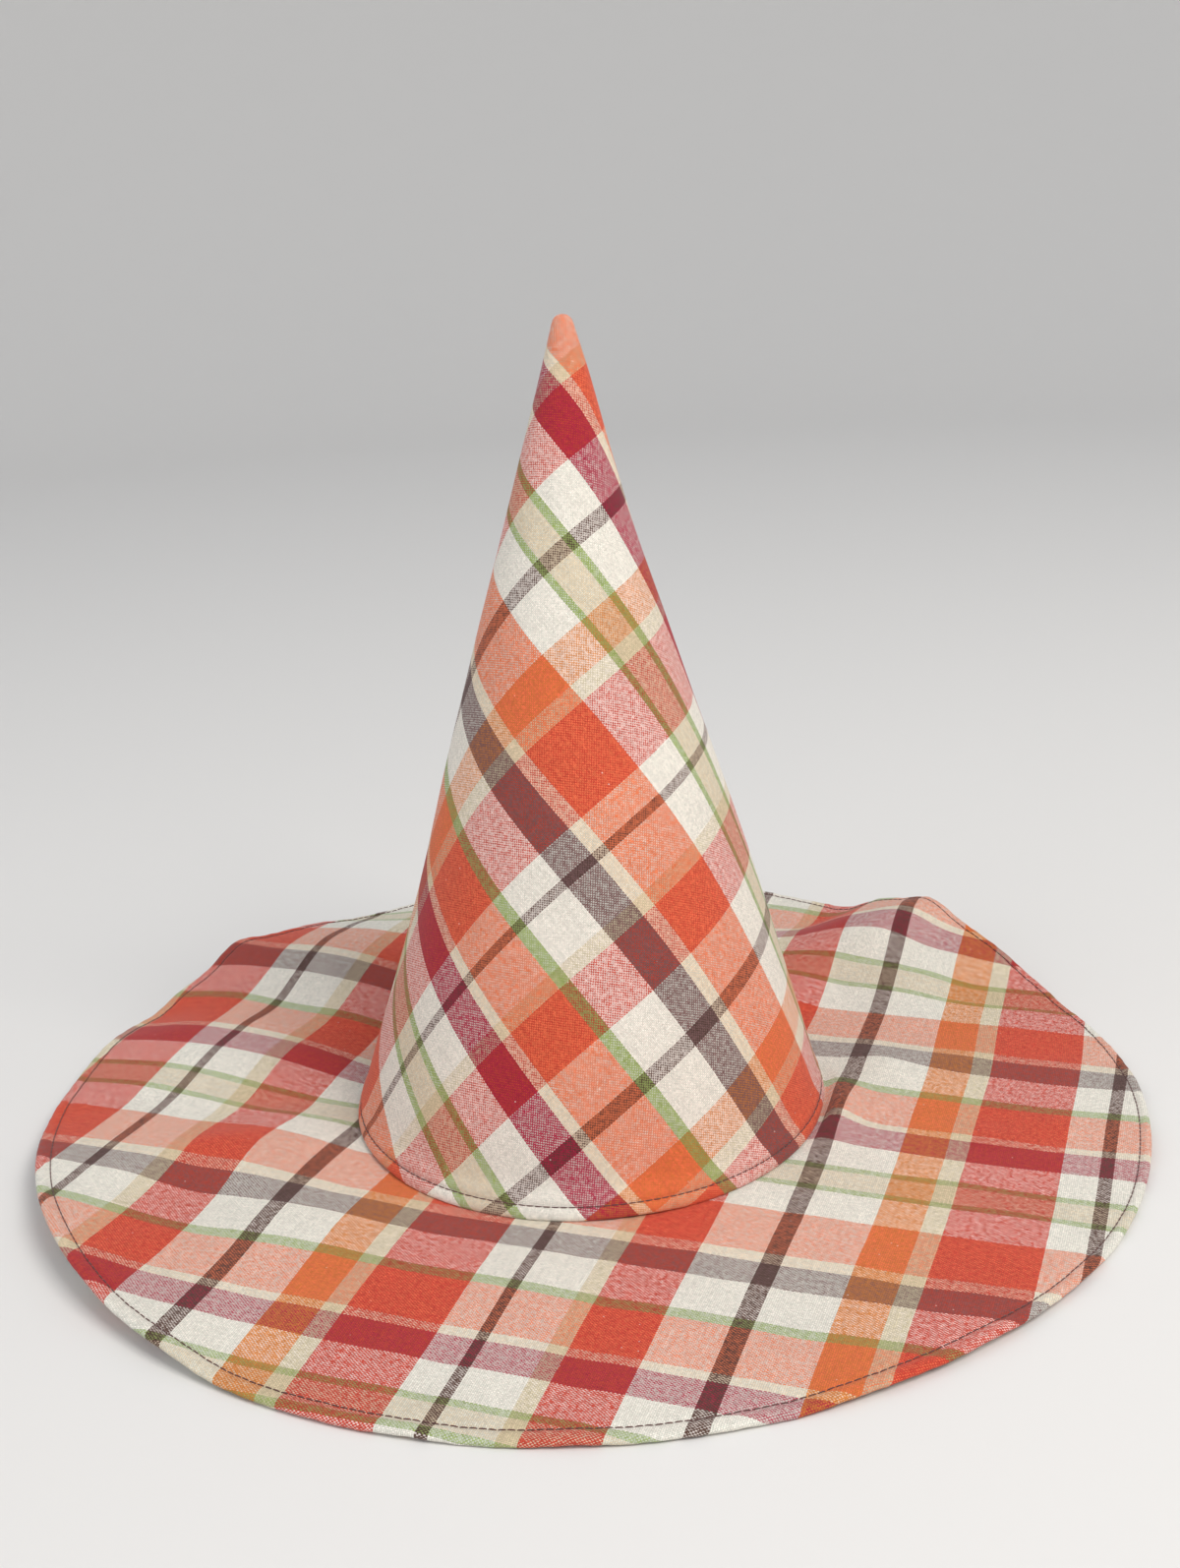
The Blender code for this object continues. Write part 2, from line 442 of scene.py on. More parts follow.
def noise(tree, vector, scale, detail=2.0, roughness=0.5, output=0):
    """One Noise Texture node; gives its value from 0 to 1, or its colour."""
    node = tree.nodes.new("ShaderNodeTexNoise")
    plug(tree, vector, node.inputs["Vector"])
    node.inputs["Scale"].default_value = scale
    node.inputs["Detail"].default_value = detail
    node.inputs["Roughness"].default_value = roughness
    return node.outputs[output]


def stripe_ramp(tree, position, stripes, start):
    """Colours by stripe: a constant ramp over one repeat of the chart; position in millimetres."""
    repeat = sum(width for _, width in stripes)
    repeats = math_node(tree, "DIVIDE", math_node(tree, "SUBTRACT", position, start), repeat)
    share = math_node(tree, "FRACT", repeats)
    ramp = tree.nodes.new("ShaderNodeValToRGB")
    ramp.color_ramp.interpolation = "CONSTANT"
    stops = ramp.color_ramp.elements
    at = 0.0
    for k, (yarn, width) in enumerate(stripes):
        stop = stops[k] if k < len(stops) else stops.new(at / repeat)
        stop.position = at / repeat
        stop.color = (*YARNS[yarn], 1.0)
        at += width
    plug(tree, share, ramp.inputs[0])
    return ramp.outputs[0]


def make_weave():
    """The woven check: cloth position in, colour with painted thread shade, and relief out."""
    group, given, result = new_group(
        "woven_check",
        (("Cloth", "NodeSocketVector", None), ("Bleed", "NodeSocketFloat", WEAVE_BLEED),
         ("Warp cover", "NodeSocketFloat", 0.0)),
        (("Color", "NodeSocketColor"), ("Relief", "NodeSocketFloat")))
    cloth = given.outputs["Cloth"]

    def maths(operation, *values):
        return math_node(group, operation, *values)

    drift = group.nodes.new("ShaderNodeVectorMath")
    drift.operation = "MULTIPLY_ADD"
    plug(group, noise(group, cloth, WANDER_PER_METRE, output="Color"), drift.inputs[0])
    plug(group, (THREAD_WANDER, THREAD_WANDER, 0.0), drift.inputs[1])
    plug(group, cloth, drift.inputs[2])
    apart = group.nodes.new("ShaderNodeSeparateXYZ")
    group.links.new(drift.outputs[0], apart.inputs[0])
    warp_count = maths("MULTIPLY", apart.outputs[0], 1.0 / (WARP_PITCH * MM))
    weft_count = maths("MULTIPLY", apart.outputs[1], 1.0 / (WEFT_PITCH * MM))
    warp_number = maths("FLOOR", warp_count)
    weft_number = maths("FLOOR", weft_count)
    parity = maths("FLOORED_MODULO", maths("ADD", warp_number, weft_number), 2.0)
    warp_side = maths("SUBTRACT", maths("FRACT", warp_count), 0.5)
    weft_side = maths("SUBTRACT", maths("FRACT", weft_count), 0.5)
    patchy = noise(group, cloth, HEATHER_PER_METRE, 3.0, HEATHER_ROUGHNESS)
    heather = maths("MULTIPLY", maths("SUBTRACT", patchy, 0.5), HEATHER)
    cover = maths("ADD", given.outputs["Warp cover"], heather)
    warp_cell = maths("LESS_THAN", maths("ABSOLUTE", warp_side), maths("ADD", 0.5, cover))
    weft_cell = maths("GREATER_THAN", maths("ABSOLUTE", weft_side), maths("SUBTRACT", 0.5, cover))
    warp_on_top = choose(group, parity, warp_cell, weft_cell)
    warp_place = maths("MULTIPLY", maths("ADD", warp_number, 0.5), WARP_PITCH)
    weft_place = maths("MULTIPLY", maths("ADD", weft_number, 0.5), WEFT_PITCH)
    warp_colour = stripe_ramp(group, warp_place, WARP_STRIPES, WARP_START)
    weft_colour = stripe_ramp(group, weft_place, WEFT_STRIPES, WEFT_START)
    on_top = mix_colours(group, warp_on_top, weft_colour, warp_colour)
    below = mix_colours(group, warp_on_top, warp_colour, weft_colour)
    tinted = mix_colours(group, given.outputs["Bleed"], on_top, below, "MULTIPLY")
    side = choose(group, warp_on_top, weft_side, warp_side)
    along = choose(group, warp_on_top, warp_side, weft_side)
    sideways = maths("MULTIPLY", maths("MULTIPLY", side, side), SIDE_FALL)
    lengthwise = maths("MULTIPLY", maths("MULTIPLY", along, along), END_FALL)
    relief = maths("ADD", maths("ADD", sideways, lengthwise), 1.0)
    # painted shade: the thread's colour darkens where its relief falls, at its sides and float ends
    painted_shade = maths("MULTIPLY_ADD", relief, *PAINTED_THREAD_SHADE)
    chance = group.nodes.new("ShaderNodeTexWhiteNoise")
    chance.noise_dimensions = "2D"
    plug(group, combine(group, "XYZ", warp_number, weft_number), chance.inputs["Vector"])
    speckle = maths("MULTIPLY_ADD", chance.outputs["Value"], *SPECKLE)
    down_warp = maths("MULTIPLY", weft_count, SLUB_STRETCH)
    down_weft = maths("MULTIPLY", warp_count, SLUB_STRETCH)
    warp_slub = noise(group, combine(group, "XYZ", warp_number, down_warp), SLUB_SCALE, 1.0)
    weft_slub = noise(group, combine(group, "XYZ", down_weft, weft_number, WEFT_SLUB_PLACE), SLUB_SCALE, 1.0)
    slub = choose(group, warp_on_top, weft_slub, warp_slub)
    uneven = maths("MULTIPLY_ADD", slub, *SLUB)
    # painted shade, times the yarn's own slubs and speckle
    brightness = maths("MULTIPLY", maths("MULTIPLY", painted_shade, uneven), speckle)
    colour = mix_colours(group, 1.0, tinted, grey(group, brightness), "MULTIPLY")
    group.links.new(colour, result.inputs["Color"])
    group.links.new(relief, result.inputs["Relief"])
    return group


weave = make_weave()
print("weave group nodes:", len(weave.nodes))

# %% [markdown]
# ## Brushed cotton
# Each cloth piece has its own material round the same weave. The cloth is washed and handled, so its
# colour wanders a little over a few centimetres, pale lint sits on it here and there, and a soft
# sheen stands in for the brushed nap.

# %% The wear group and the cotton materials
WASH_PER_METRE = 22.0
WASH = (0.16, 0.92)
LINT_PER_METRE = 380.0
LINT_SIZE = 0.10
LINT_PATCHES_PER_METRE = 330.0
LINT_RARENESS = 0.64
LINT_COLOUR = (0.86, 0.80, 0.74, 1.0)
NAP_PER_METRE = 1400.0
NAP_SHARE = 0.5
CLOTH_BUMP = 0.35
CLOTH_BUMP_DEPTH = 0.00012
COTTON_VALUES = {"Roughness": 0.88, "Specular IOR Level": 0.25, "Sheen Weight": 0.12, "Sheen Roughness": 0.5}


def make_wear():
    """Soft washing over centimetres and small specks of lint."""
    group, given, result = new_group(
        "cotton_wear",
        (("Color", "NodeSocketColor", None), ("Place", "NodeSocketVector", None),
         ("Lint", "NodeSocketFloat", 0.5)),
        (("Color", "NodeSocketColor"), ("Nap", "NodeSocketFloat")))
    place = given.outputs["Place"]
    wash = math_node(group, "MULTIPLY_ADD", noise(group, place, WASH_PER_METRE, 3.0), *WASH)
    washed = mix_colours(group, 1.0, given.outputs["Color"], grey(group, wash), "MULTIPLY")
    specks = group.nodes.new("ShaderNodeTexVoronoi")
    specks.inputs["Scale"].default_value = LINT_PER_METRE
    plug(group, place, specks.inputs["Vector"])
    close = math_node(group, "LESS_THAN", specks.outputs["Distance"], LINT_SIZE)
    patches = noise(group, place, LINT_PATCHES_PER_METRE, 1.0)
    rare = math_node(group, "GREATER_THAN", patches, LINT_RARENESS)
    lint = math_node(group, "MULTIPLY", math_node(group, "MULTIPLY", close, rare), given.outputs["Lint"])
    linted = mix_colours(group, lint, washed, LINT_COLOUR)
    nap = noise(group, place, NAP_PER_METRE)
    group.links.new(linted, result.inputs["Color"])
    group.links.new(nap, result.inputs["Nap"])
    return group


wear = make_wear()


def new_material(name, values):
    """A material whose shader has the given values on its own sockets; gives both."""
    material = bpy.data.materials.new(name)
    material.use_nodes = True
    shader = material.node_tree.nodes["Principled BSDF"]
    for socket, value in values.items():
        shader.inputs[socket].default_value = value
    return material, shader


def cotton(name, lint, warp_cover):
    """One cotton material: weave and wear groups, with the shader and its bump in the material itself.

    The warp cover says how far the warp threads spread over the weft, as a share of a thread: in the
    flat brim the warp shows more, and in the stretched crown the weft, so its share is below nothing.
    """
    material, shader = new_material(name, COTTON_VALUES)
    tree = material.node_tree
    cloth_map = tree.nodes.new("ShaderNodeUVMap")
    cloth_map.uv_map = "cloth"
    place = tree.nodes.new("ShaderNodeTexCoord")
    woven = tree.nodes.new("ShaderNodeGroup")
    woven.node_tree = weave
    woven.inputs["Warp cover"].default_value = warp_cover
    plug(tree, cloth_map.outputs[0], woven.inputs["Cloth"])
    worn = tree.nodes.new("ShaderNodeGroup")
    worn.node_tree = wear
    worn.inputs["Lint"].default_value = lint
    plug(tree, woven.outputs["Color"], worn.inputs["Color"])
    plug(tree, place.outputs["Object"], worn.inputs["Place"])
    relief = math_node(tree, "MULTIPLY_ADD", worn.outputs["Nap"], NAP_SHARE, woven.outputs["Relief"])
    bump = tree.nodes.new("ShaderNodeBump")
    bump.inputs["Strength"].default_value = CLOTH_BUMP
    bump.inputs["Distance"].default_value = CLOTH_BUMP_DEPTH
    plug(tree, relief, bump.inputs["Height"])
    plug(tree, worn.outputs["Color"], shader.inputs["Base Color"])
    plug(tree, bump.outputs[0], shader.inputs["Normal"])
    return material


brim_cotton = cotton("brim_check_cotton", lint=0.5, warp_cover=0.18)
under_cotton = cotton("brim_under_check_cotton", lint=0.4, warp_cover=0.18)
crown_cotton = cotton("crown_check_cotton", lint=0.6, warp_cover=-0.14)
print("cotton materials:", brim_cotton.name, under_cotton.name, crown_cotton.name)

# %% [markdown]
# ## From a grid of points to a sheet of cloth
# A brim layer or the crown is a grid that closes on itself: rows of points, each row a ring. The
# helper joins the rings with quads, writes each corner's place on the check into the UV map, and
# gives the sheet its thickness with Solidify.

# %% The sheet helper
SHARP_FOLD = math.radians(60)


def piece_from(mesh, name, material):
    """Turns a bmesh into a named, smooth-shaded piece with one material."""
    data = bpy.data.meshes.new(name)
    mesh.to_mesh(data)
    mesh.free()
    data.materials.append(material)
    data.shade_smooth()
    piece = bpy.data.objects.new(name, data)
    scene.collection.objects.link(piece)
    return piece


def sheet_piece(name, points, cloth, thickness, material, outward_rows, closed_top=None):
    """A ring-shaped grid of points as a cloth object; points and cloth are arrays, row by ring.

    outward_rows says that each next row lies further out, as on the brim, and not higher, as on
    the crown: the corners then go the other way round, so that the cloth's face points up.
    """
    rows, columns = points.shape[:2]
    mesh = bmesh.new()
    uv = mesh.loops.layers.uv.new("cloth")
    verts = [[mesh.verts.new(points[i, j]) for j in range(columns - 1)] for i in range(rows)]
    for i in range(rows - 1):
        for j in range(columns - 1):
            corners = [(i, j), (i, j + 1), (i + 1, j + 1), (i + 1, j)]
            if outward_rows:
                corners.reverse()
            face = mesh.faces.new([verts[row][column % (columns - 1)] for row, column in corners])
            for loop, (row, column) in zip(face.loops, corners):
                loop[uv].uv = cloth[row, column]
    if closed_top is not None:
        pole = mesh.verts.new(closed_top)
        for j in range(columns - 1):
            face = mesh.faces.new((verts[-1][j], verts[-1][(j + 1) % (columns - 1)], pole))
            centre = cloth[-1].mean(axis=0)
            for loop, place in zip(face.loops, (cloth[-1, j], cloth[-1, j + 1], centre)):
                loop[uv].uv = place
    piece = piece_from(mesh, name, material)
    thicken = piece.modifiers.new("cloth_thickness", "SOLIDIFY")
    thicken.thickness = thickness
    thicken.offset = -1.0
    thicken.use_even_offset = False
    apply_all(piece)
    piece.data.shade_smooth()
    piece.data.set_sharp_from_angle(angle=SHARP_FOLD)
    return piece


def apply_all(piece):
    """Applies every modifier of a piece, in order."""
    bpy.ops.object.select_all(action="DESELECT")
    bpy.context.view_layer.objects.active = piece
    piece.select_set(True)
    for modifier in list(piece.modifiers):
        bpy.ops.object.modifier_apply(modifier=modifier.name)
    piece.select_set(False)


def triangles(piece):
    """How many triangles a piece has."""
    return sum(len(face.vertices) - 2 for face in piece.data.polygons)


print("sheet helper ready")

# %% [markdown]
# ## The brim's fine relief
# The rim was sewn inside out and turned, so the upper cloth rolls over the edge and ends just
# underneath, where the lower layer meets it. The grid does the same: its last rings go round half a
# small oval, while their place on the check runs straight on outwards.
# A row of topstitching a few millimetres in presses a groove, the cloth between it and the rim puffs
# up a little, and the stitches draw the cloth into faint puckers. Long, low wrinkles cross the rest.
# All are heights in millimetres, added to the smooth shape. The row was sewn by eye, so a short
# table says how far in it runs.

# %% The brim layers
STITCH_ROW_COLUMNS = ("angle", "inset")
STITCH_ROW = (
    (-30, 6.0),
    (10, 6.2),
    (45, 4.8),
    (75, 3.7),
    (120, 3.5),
    (180, 4.1),
    (240, 4.7),
    (290, 5.4),
    (330, 6.0),
    (370, 6.2),
)
STITCH_ZONE = 0.0100
RIM_ROLL = 0.0016
RIM_HALF_HEIGHT = 0.0012
RIM_ARC = 0.0014
RIM_RINGS = 8
UNDER_SET_IN = 0.0020
BRIM_TURNS = 720
CLOTH_SEEN = 0.0008
LEAST_HEIGHT = 0.0001
UNDER_CLEARANCE = 0.0003
UNDER_RELIEF = 0.25

# heights in millimetres and widths in metres of the groove, the welt and what fades away from them
GROOVE_DEPTH = -0.45
GROOVE_WIDTH = 0.0011
WELT_HEIGHT = 0.30
WELT_WIDTH = 0.0026
RIM_PUCKER_FADE = 0.007
WRINKLE_START = 0.03
WRINKLE_MIDDLE = 0.1
LONG_WRINKLE_TURNS = 55
SHORT_WRINKLE_TURNS = 90
SEAM_PUCKER_FADE = 0.006
SEAM_PUCKER_START = 0.094
SEAM_PUCKER_RISE = 0.003

# how many waves go round the hat, where they start, and how high they are in millimetres
RIPPLE_COLUMNS = ("count", "phase", "height")
RIPPLES = {
    "rim pucker": (131, 0.7, 0.16),
    "long wrinkle": (17, 1.3, 0.35),
    "short wrinkle": (29, 0.2, 0.35),
    "seam pucker": (67, 2.2, 0.12),
}
SECOND_WAVE = 0.6
SECOND_COUNT = 1.7
SECOND_PHASE = 2.1


def ripple(name, angles):
    """One row of the ripples round the hat, in millimetres; it never repeats quite evenly."""
    row = dict(zip(RIPPLE_COLUMNS, RIPPLES[name]))
    turns = np.radians(angles)
    first = np.sin(row["count"] * turns + row["phase"])
    second = np.sin(row["count"] * SECOND_COUNT // 1 * turns + SECOND_PHASE * row["phase"])
    return row["height"] * ((first + SECOND_WAVE * second) / (1 + SECOND_WAVE))[None, :]


def stitch_inset(angles):
    """How far inside the rim the row of stitches runs, in metres."""
    places, insets = (column(STITCH_ROW, STITCH_ROW_COLUMNS, name) for name in STITCH_ROW_COLUMNS)
    return smooth_through(places, insets, np.mod(angles, 360)) * MM


def brim_relief(angles, radii):
    """Wrinkles, puckers, stitch groove and welt of the upper layer, in metres."""
    out = radii[:, None]
    from_rim = RIM_RADIUS - out
    inset = stitch_inset(angles)[None, :]
    groove = GROOVE_DEPTH * np.exp(-((from_rim - inset) / GROOVE_WIDTH) ** 2)
    welt = WELT_HEIGHT * np.exp(-((from_rim - 0.5 * inset) / WELT_WIDTH) ** 2)
    pucker = np.exp(-np.maximum(0.0, from_rim - inset) / RIM_PUCKER_FADE) * ripple("rim pucker", angles)
    long_part = ripple("long wrinkle", angles) * np.cos((out - WRINKLE_MIDDLE) * LONG_WRINKLE_TURNS)
    short_part = ripple("short wrinkle", angles) * np.sin((out - WRINKLE_MIDDLE) * SHORT_WRINKLE_TURNS)
    wrinkle = np.clip((out - SEAM_RADIUS) / WRINKLE_START, 0.0, 1.0) * (long_part + short_part)
    seam_fade = np.exp(-np.maximum(0.0, out - SEAM_RADIUS) / SEAM_PUCKER_FADE)
    outside_seam = np.clip((out - SEAM_PUCKER_START) / SEAM_PUCKER_RISE, 0.0, 1.0)
    seam_pucker = seam_fade * ripple("seam pucker", angles) * outside_seam
    return (groove + welt + pucker + wrinkle + seam_pucker) * MM


def brim_rings(outermost):
    """Radii of the brim's rings out to the outermost, close together near the stitching."""
    inner = np.linspace(HEAD_RADIUS, SEAM_RADIUS, 5)[:-1]
    body = np.linspace(SEAM_RADIUS, RIM_RADIUS - STITCH_ZONE, 37)[:-1]
    edge = np.linspace(RIM_RADIUS - STITCH_ZONE, outermost, 16)
    return np.concatenate([inner, body, edge])


def turned_edge():
    """The turned edge of the upper layer, ring by ring: its radius, its drop and its flat radius."""
    around = np.linspace(0, math.pi, RIM_RINGS + 1)[1:]
    radii = RIM_RADIUS - RIM_ROLL * (1 - np.sin(around))
    drops = RIM_HALF_HEIGHT * (1 - np.cos(around))
    flat = RIM_RADIUS - RIM_ROLL + RIM_ARC * around
    return radii, drops, flat


def upper_grid(angles):
    """Points and flat radii of the upper layer, with its edge turned under."""
    edge_radii, edge_drops, edge_flat = turned_edge()
    plain = brim_rings(RIM_RADIUS - RIM_ROLL)
    radii = np.concatenate([plain, edge_radii])
    drops = np.concatenate([np.zeros_like(plain), edge_drops])
    points = brim_shape(angles, radii)
    points[..., 2] += UPPER_BASE + LAYER + brim_relief(angles, radii) - drops[:, None]
    points[..., 2] = np.maximum(points[..., 2], LEAST_HEIGHT)
    return points, np.concatenate([plain, edge_flat])


def lower_grid(angles):
    """Points and flat radii of the lower layer, which ends just inside the turned edge."""
    radii = brim_rings(RIM_RADIUS - UNDER_SET_IN)
    points = brim_shape(angles, radii)
    shallow = np.minimum(0.0, UNDER_RELIEF * brim_relief(angles, radii))
    points[..., 2] += UNDER_BASE + CLOTH_SEEN + UNDER_CLEARANCE + shallow
    return points, radii


def brim_layer(name, grid, turn, cut, material):
    """One layer of the brim from its grid, cut from the check with a turn and at a place."""
    angles = np.linspace(0, 360, BRIM_TURNS + 1)
    points, flat_radii = grid(angles)
    points[:, -1] = points[:, 0]
    cloth = brim_cloth(angles, flat_radii, turn, cut)
    return sheet_piece(name, points, cloth, CLOTH_SEEN, material, True)


brim_top = brim_layer("brim_upper_cloth", upper_grid, BRIM_TURN, BRIM_CUT, brim_cotton)
brim_low = brim_layer("brim_under_cloth", lower_grid, UNDER_TURN, UNDER_CUT, under_cotton)
layers = ((brim_top, "brim_upper", "brim_check"), (brim_low, "brim_under", "brim_under_check"))
for layer, node, named in layers:
    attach(layer, "root")
    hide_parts(node)
    print(layer.name, triangles(layer), "triangles")

# %% [markdown]
# ## The crown
# The crown is a fan of cloth closed by one seam at the back, stiffened so that it stands. Its lower
# edge is turned under, which makes the last few millimetres twice as thick, and topstitched to the
# brim. At the front the edge kicks out a little. The tip ends in a small round. The grid runs from
# the edge up to the tip; heights and radii come from the table, and the seam, hem, kick and small
# dents are added to the radius.

# %% The crown
HEM_STITCH = 0.0045
HEM_PROUD = 0.0006
HEM_KICK = 0.0034
HEM_KICK_HEIGHT = 0.0075
CROWN_THICKNESS = 0.0018
CROWN_HEM_RINGS = 24
CROWN_RINGS = 112
CROWN_TURNS = 288
CROWN_CAP_RINGS = 5
TURNS_BESIDE_SEAM = np.array([0.004, 0.009, 0.015, 0.03])

# heights on the crown, and depths and widths of its relief, in metres
HEM_ZONE = 0.012
HEM_TOP = 0.0085
HEM_TOP_SOFTNESS = 0.0007
HEM_GROOVE_DEPTH = -0.00055
HEM_GROOVE_WIDTH = 0.0009
EDGE_ROUND = 0.0009
HEM_LIFT_FADE = 0.006
SEAM_DEPTH = -0.0006
SEAM_WIDTH = 0.0008
SEAM_PRESSED = 0.0003
SEAM_PRESSED_WIDTH = 0.006
HEM_PUCKER = 0.00012
HEM_PUCKER_FADE = 0.004
HEM_PUCKER_COUNT = 97
PEAK_HEIGHT = 0.33
FOOT_RADIUS = 0.095
DENT_DEPTH = 0.00035
DENT_RISE = 0.03

# waves round the hat: height in metres, how many, phase
EDGE_LIFTS = ((0.0003, 5, 0.8), (0.0002, 11, 0.0))
ROW_WANDERS = ((0.00035, 7, 1.0), (0.0002, 19, 0.0))

# dents: their share of the depth, waves round the crown, radians of wave for each metre up, phase
DENT_COLUMNS = ("share", "around", "up", "phase")
DENTS = (
    (1.0, 3, 14, 0.4),
    (0.6, 5, -31, 2.0),
    (0.35, 9, 55, 1.1),
)


def crown_turns():
    """Angles round the crown in radians from the back seam, right round, closer together at the seam."""
    even = np.linspace(-math.pi, math.pi, CROWN_TURNS + 1)
    return np.unique(np.concatenate([even, -math.pi + TURNS_BESIDE_SEAM, math.pi - TURNS_BESIDE_SEAM]))


def hem_kick(turns, heights):
    """How far the front of the lower edge kicks out, and how much longer its cloth is there, in metres."""
    front = np.clip(np.cos(turns), 0.0, 1.0) ** 1.5
    return HEM_KICK * np.exp(-(heights[:, None] / HEM_KICK_HEIGHT) ** 2) * front[None, :]


def crown_relief(turns, heights):
    """What the hem, the stitch groove, the back seam and small dents add to the radius, in metres."""
    up = heights[:, None]
    side = turns[None, :]
    hem = HEM_PROUD * (1 / (1 + np.exp((up - HEM_TOP) / HEM_TOP_SOFTNESS)))
    groove = HEM_GROOVE_DEPTH * np.exp(-((up - HEM_STITCH) / HEM_GROOVE_WIDTH) ** 2)
    edge_round = -EDGE_ROUND * np.exp(-(up / EDGE_ROUND))
    size = np.clip(1 - up / PEAK_HEIGHT, 0.05, 1.0)
    from_seam = np.minimum(np.abs(side - math.pi), np.abs(side + math.pi)) * FOOT_RADIUS * size
    seam = SEAM_DEPTH * np.exp(-(from_seam / SEAM_WIDTH) ** 2)
    pressed = SEAM_PRESSED * np.exp(-(from_seam / SEAM_PRESSED_WIDTH) ** 4)
    wave = 0.0
    for row in DENTS:
        dent = dict(zip(DENT_COLUMNS, row))
        wave = wave + dent["share"] * np.sin(dent["around"] * side + dent["up"] * up + dent["phase"])
    dents = DENT_DEPTH * wave * np.clip(up / DENT_RISE, 0, 1) * np.clip(size * 2, 0.2, 1)
    drawn = np.sin(HEM_PUCKER_COUNT * side + 3 * np.sin(4 * side))
    pucker = HEM_PUCKER * np.exp(-np.abs(up - HEM_STITCH) / HEM_PUCKER_FADE) * drawn
    return hem + groove + edge_round + seam + pressed + dents + pucker + hem_kick(turns, heights)


def crown_level(heights):
    """The crown's plain outer radius and its sideways shift at any heights, in metres."""
    levels, radii, shifts = (column(CROWN_LEVELS, CROWN_COLUMNS, name) * MM for name in CROWN_COLUMNS)
    return smooth_through(levels, radii, heights), smooth_through(levels, shifts, heights)


def waves(table, turns):
    """The sum of a table's waves at some turns round the hat, in metres."""
    return sum(height * np.sin(count * turns + phase) for height, count, phase in table)


def hem_lift(turns, heights):
    """The lower edge is not quite level: it lifts a little here and there, in metres."""
    lifted = np.maximum(0.0, waves(EDGE_LIFTS, turns))
    return np.exp(-heights / HEM_LIFT_FADE)[:, None] * lifted[None, :]


def make_crown():
    """The crown's cloth: rings from the hem to the tip, then a small round cap."""
    turns = crown_turns()
    hem_heights = np.linspace(0, HEM_ZONE, CROWN_HEM_RINGS + 1)[:-1]
    heights = np.concatenate([hem_heights, np.linspace(HEM_ZONE, CROWN_LEVELS[-1][0] * MM, CROWN_RINGS)])
    radius, shift = crown_level(heights)
    wide = radius[:, None] + crown_relief(turns, heights)
    lift = hem_lift(turns, heights)
    points = np.stack([shift[:, None] + wide * np.sin(turns)[None, :], -wide * np.cos(turns)[None, :],
                       CROWN_FOOT + heights[:, None] + lift], -1)
    slope = math.atan2(CROWN_LEVELS[0][1], CROWN_LEVELS[-1][0] + TIP_RADIUS / MM)
    leans = slope + (math.pi / 2 - slope) * np.linspace(0, 1, CROWN_CAP_RINGS + 2)[1:-1]
    cap = []
    for lean in leans:
        r = TIP_RADIUS * math.cos(lean)
        z = CROWN_FOOT + TIP_TOP - TIP_RADIUS + TIP_RADIUS * math.sin(lean)
        cap.append(np.stack([shift[-1] + r * np.sin(turns), -r * np.cos(turns), np.full_like(turns, z)], -1))
    points = np.concatenate([points, np.array(cap)])
    points[:, -1] = points[:, 0]
    run = np.concatenate([[0], np.cumsum(np.hypot(np.diff(heights), np.diff(radius)))]) / MM
    slants = np.concatenate([CROWN_SLANT - run, CROWN_SLANT - run[-1] - TIP_RADIUS / MM * (leans - slope)])
    longer = hem_kick(turns, np.concatenate([heights, np.full(len(leans), heights[-1])])) / MM
    cloth = crown_cloth(turns, slants[:, None] + longer)
    top = (shift[-1], 0.0, CROWN_FOOT + TIP_TOP)
    piece = sheet_piece("crown_cloth", points, cloth, CROWN_THICKNESS, crown_cotton, False, closed_top=top)
    print("crown cloth runs", round(float(run[-1]), 1), "mm up the side;", len(points), "rings")
    return piece


crown = make_crown()
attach(crown, "root")
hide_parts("crown")
print(crown.name, triangles(crown), "triangles")

# %% [markdown]
# ## The stitches
# Two rows of fine dark thread show: one just above the crown's lower edge, one just inside the rim.
# A machine stitch is a short length of thread that dives into the cloth at both ends. One stitch is
# modelled: a six-sided cylinder is laid down, and both ends are drawn out twice, each time
# narrower and lower. It is then copied along the row, each copy turned to follow the row and sunk
# a little into its groove.

# %% The thread and the rows of stitches
STITCH_LENGTH = 0.0030
STITCH_THREAD = 0.00042
STITCH_SIDES = 6
STITCH_FLAT_SHARE = 0.45
STITCH_ENDS = ((0.20, -0.25, 0.90), (0.07, -0.40, 0.60))
STITCH_HEIGHT = 0.25
STITCH_FILL = 0.88
THREAD_LIFT = 0.00012
THREAD_TWIST_PER_METRE = 900.0
THREAD_DARK = (0.055, 0.018, 0.018, 1.0)
THREAD_LIGHT = (0.16, 0.06, 0.05, 1.0)
A_LITTLE_ROUND = 0.5
A_LITTLE_OUT = 0.001


def thread_material():
    """Dark wine-brown sewing thread, twisted along its length."""
    material, shader = new_material("topstitch_thread", {"Roughness": 0.55, "Sheen Weight": 0.2})
    tree = material.node_tree
    place = tree.nodes.new("ShaderNodeTexCoord")
    twist = noise(tree, place.outputs["Object"], THREAD_TWIST_PER_METRE)
    plug(tree, mix_colours(tree, twist, THREAD_DARK, THREAD_LIGHT), shader.inputs["Base Color"])
    return material


